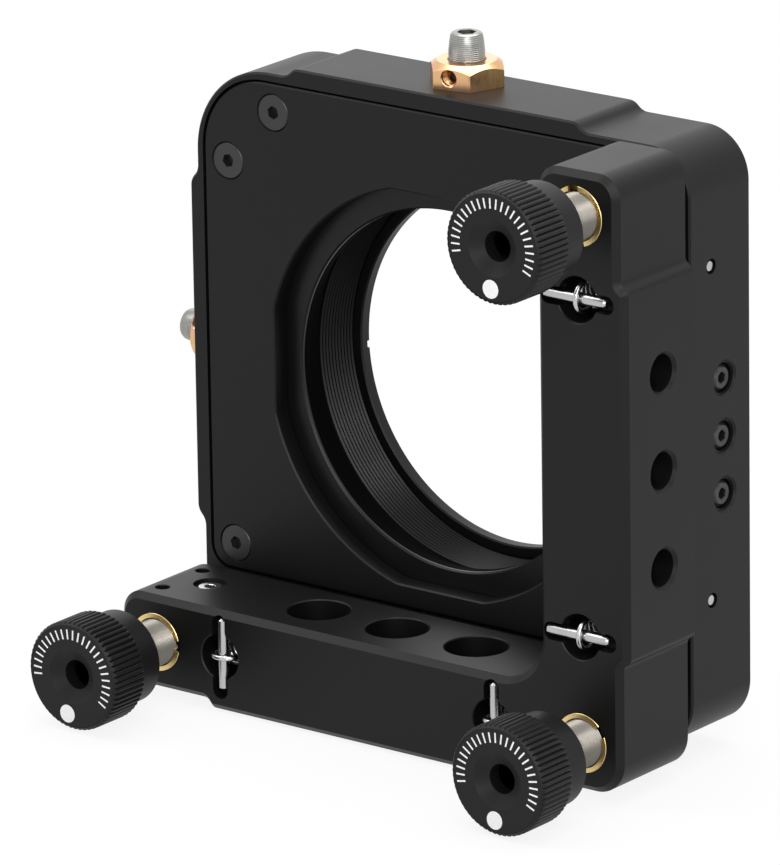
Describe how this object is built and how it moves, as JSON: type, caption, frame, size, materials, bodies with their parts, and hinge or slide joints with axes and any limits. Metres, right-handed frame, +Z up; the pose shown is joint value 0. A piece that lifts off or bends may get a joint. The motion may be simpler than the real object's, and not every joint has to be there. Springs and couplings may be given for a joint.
{
  "type": "kinematic mount",
  "caption": "Optical mount with an L-shaped frame, a spring-held housing on ball-tipped adjusters, and a round cell that slides two ways under a cover plate.",
  "frame": {"origin": "on the optical axis, in the plane of the lip that the optic seats on", "axes": "+Y along the optical axis, away from the knobs; +Z up; +X towards the upright arm"},
  "size_m": [0.0888, 0.0517, 0.0888],
  "materials": {
    "black_anodised": "satin black anodised aluminium",
    "knob_black": "satin black anodised aluminium, knurled",
    "bronze": "machined bronze",
    "bright_steel": "machined stainless steel",
    "hard_steel": "polished hardened steel",
    "spring_steel": "drawn spring steel",
    "black_oxide": "black oxide steel"
  },
  "bodies": {
    "base_frame": {"l_frame": "black_anodised", "bushing_top": "bronze", "bushing_corner": "bronze", "bushing_left": "bronze", "lock_screw_top": "bright_steel", "lock_screw_corner": "bright_steel", "lock_screw_left": "bright_steel", "front_spring_pin_1": "bright_steel", "front_spring_pin_2": "bright_steel", "front_spring_pin_3": "bright_steel", "front_spring_pin_4": "bright_steel", "extension_spring_1": "spring_steel", "extension_spring_2": "spring_steel", "extension_spring_3": "spring_steel", "extension_spring_4": "spring_steel"},
    "top_carriage": {"ball_top": "hard_steel", "swivel_foot_top": "bright_steel"},
    "top_knob": {"adjuster_screw_top": "bright_steel", "knob_top": "knob_black"},
    "corner_carriage": {"ball_corner": "hard_steel", "swivel_foot_corner": "bright_steel"},
    "corner_knob": {"adjuster_screw_corner": "bright_steel", "knob_corner": "knob_black"},
    "left_carriage": {"ball_left": "hard_steel", "swivel_foot_left": "bright_steel"},
    "left_knob": {"adjuster_screw_left": "bright_steel", "knob_left": "knob_black"},
    "corner_seat": {"cone_seat": "hard_steel"},
    "top_seat": {"vee_seat": "hard_steel"},
    "housing": {"housing": "black_anodised", "cover_plate": "black_anodised", "cover_screws": "black_oxide", "flat_seat": "hard_steel", "rear_spring_pins": "bright_steel", "side_socket_screws": "black_oxide", "vertical_socket_screws": "black_oxide", "side_plunger_springs": "spring_steel", "vertical_plunger_springs": "spring_steel"},
    "side_plungers": {"side_plungers": "bright_steel"},
    "cell": {"optic_cell": "black_anodised", "retaining_ring": "black_anodised", "side_thrust_pad": "hard_steel", "vertical_thrust_pad": "hard_steel"},
    "vertical_plungers": {"vertical_plungers": "bright_steel"},
    "side_push": {"side_thrust_ball": "hard_steel"},
    "side_screw": {"side_actuator_screw": "bright_steel"},
    "side_nut": {"side_lock_nut": "bright_steel"},
    "vertical_push": {"vertical_thrust_ball": "hard_steel"},
    "vertical_screw": {"vertical_actuator_screw": "bright_steel"},
    "vertical_nut": {"vertical_lock_nut": "bright_steel"}
  },
  "joints": [
    {"name": "top_advance", "type": "slide", "parent": "base_frame", "child": "top_carriage", "axis": [0, 1, 0], "range_m": [-0.0008, 0.0008]},
    {"name": "top_turn", "type": "hinge", "parent": "top_carriage", "child": "top_knob", "pos_m": [0.03493, -0.00562, 0.03357], "axis": [0, 1, 0], "range_deg": [-912, 912]},
    {"name": "corner_advance", "type": "slide", "parent": "base_frame", "child": "corner_carriage", "axis": [0, 1, 0], "range_m": [-0.0008, 0.0008]},
    {"name": "corner_turn", "type": "hinge", "parent": "corner_carriage", "child": "corner_knob", "pos_m": [0.03493, -0.00562, -0.03493], "axis": [0, 1, 0], "range_deg": [-912, 912]},
    {"name": "left_advance", "type": "slide", "parent": "base_frame", "child": "left_carriage", "axis": [0, 1, 0], "range_m": [-0.0008, 0.0008]},
    {"name": "left_turn", "type": "hinge", "parent": "left_carriage", "child": "left_knob", "pos_m": [-0.03357, -0.00562, -0.03493], "axis": [0, 1, 0], "range_deg": [-912, 912]},
    {"name": "corner_tilt", "type": "hinge", "parent": "base_frame", "child": "corner_seat", "pos_m": [-0.03357, -0.00562, -0.03493], "axis": [0.7071, 0, 0.7071], "range_deg": [-0.95, 0.95]},
    {"name": "top_tilt", "type": "hinge", "parent": "corner_seat", "child": "top_seat", "pos_m": [0.03493, -0.00562, -0.03493], "axis": [-1, 0, 0], "range_deg": [-0.67, 0.67]},
    {"name": "left_tilt", "type": "hinge", "parent": "top_seat", "child": "housing", "pos_m": [0.03493, -0.00562, -0.03493], "axis": [0, 0, -1], "range_deg": [-0.67, 0.67], "deforming": ["extension_spring_1", "extension_spring_2", "extension_spring_3", "extension_spring_4"]},
    {"name": "side_push", "type": "slide", "parent": "housing", "child": "side_push", "axis": [1, 0, 0], "range_m": [-0.00075, 0.00075]},
    {"name": "side_screw_turn", "type": "hinge", "parent": "side_push", "child": "side_screw", "pos_m": [-0.02915, 0.0028, 0], "axis": [1, 0, 0], "range_deg": [-1066, 1066]},
    {"name": "side_plunge", "type": "slide", "parent": "housing", "child": "side_plungers", "axis": [1, 0, 0], "range_m": [-0.00075, 0.00075]},
    {"name": "side_nut_turn", "type": "hinge", "parent": "housing", "child": "side_nut", "pos_m": [-0.02915, 0.0028, 0], "axis": [1, 0, 0], "range_deg": [-90, 0]},
    {"name": "vertical_push", "type": "slide", "parent": "housing", "child": "vertical_push", "axis": [0, 0, -1], "range_m": [-0.00075, 0.00075]},
    {"name": "vertical_screw_turn", "type": "hinge", "parent": "vertical_push", "child": "vertical_screw", "pos_m": [0, 0.0028, 0.02915], "axis": [0, 0, -1], "range_deg": [-1066, 1066]},
    {"name": "vertical_plunge", "type": "slide", "parent": "housing", "child": "vertical_plungers", "axis": [0, 0, -1], "range_m": [-0.00075, 0.00075]},
    {"name": "vertical_nut_turn", "type": "hinge", "parent": "housing", "child": "vertical_nut", "pos_m": [0, 0.0028, 0.02915], "axis": [0, 0, -1], "range_deg": [-90, 0]},
    {"name": "cell_rise", "type": "slide", "parent": "side_plungers", "child": "cell", "axis": [0, 0, -1], "range_m": [-0.00075, 0.00075]}
  ],
  "couplings": [
    {"joint": "top_turn", "follows": "top_advance", "rad_per_m": 19790},
    {"joint": "corner_turn", "follows": "corner_advance", "rad_per_m": 19790},
    {"joint": "left_turn", "follows": "left_advance", "rad_per_m": 19790},
    {"joint": "corner_tilt", "follows": "corner_advance", "rad_per_m": 20.645},
    {"joint": "top_tilt", "follows": "top_advance", "rad_per_m": 14.599},
    {"joint": "left_tilt", "follows": "left_advance", "rad_per_m": 14.599},
    {"joint": "side_push", "follows": "side_plunge", "ratio": 1},
    {"joint": "side_screw_turn", "follows": "side_plunge", "rad_per_m": 24737},
    {"joint": "vertical_push", "follows": "cell_rise", "ratio": 1},
    {"joint": "vertical_screw_turn", "follows": "cell_rise", "rad_per_m": 24737},
    {"joint": "vertical_plunge", "follows": "cell_rise", "ratio": 1}
  ]
}
